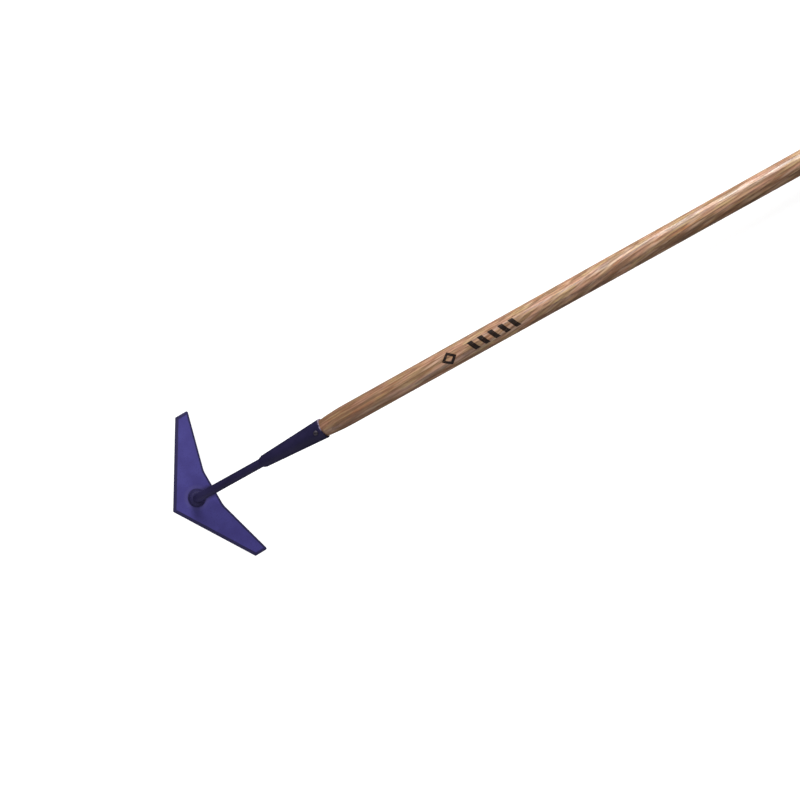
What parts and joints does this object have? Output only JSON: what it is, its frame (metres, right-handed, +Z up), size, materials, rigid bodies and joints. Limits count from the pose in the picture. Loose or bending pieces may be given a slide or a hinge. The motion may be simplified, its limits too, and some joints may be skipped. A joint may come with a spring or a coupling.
{
  "type": "path weeder",
  "caption": "Long-handled path weeder: flat V-shaped blade on a bent round neck, welded into a rolled conical socket on a turned ash handle.",
  "frame": {"origin": "the middle of the bottom of the bounding box, with the tool lying on its wing tips' rear corners and on the end of its handle", "axes": "+X along the tool from the blade to the end of the handle, +Y across it towards one wing, +Z up from the surface it lies on; the tool is the same on both sides of Y = 0"},
  "size_m": [1.6754, 0.215, 0.0626],
  "materials": {
    "violet_blue_paint": "satin violet-blue enamel on sheet steel",
    "dark_navy_paint": "satin dark navy enamel on steel bar and rolled sheet",
    "screw_steel": "dull zinc-plated wood screw",
    "ash_wood": "turned ash, thinly varnished"
  },
  "bodies": {
    "root": {"blade": "violet_blue_paint", "neck": "dark_navy_paint", "foot_weld": "dark_navy_paint", "socket": "dark_navy_paint", "socket_weld": "dark_navy_paint", "fixing_screw": "screw_steel", "handle": "ash_wood"}
  },
  "joints": []
}
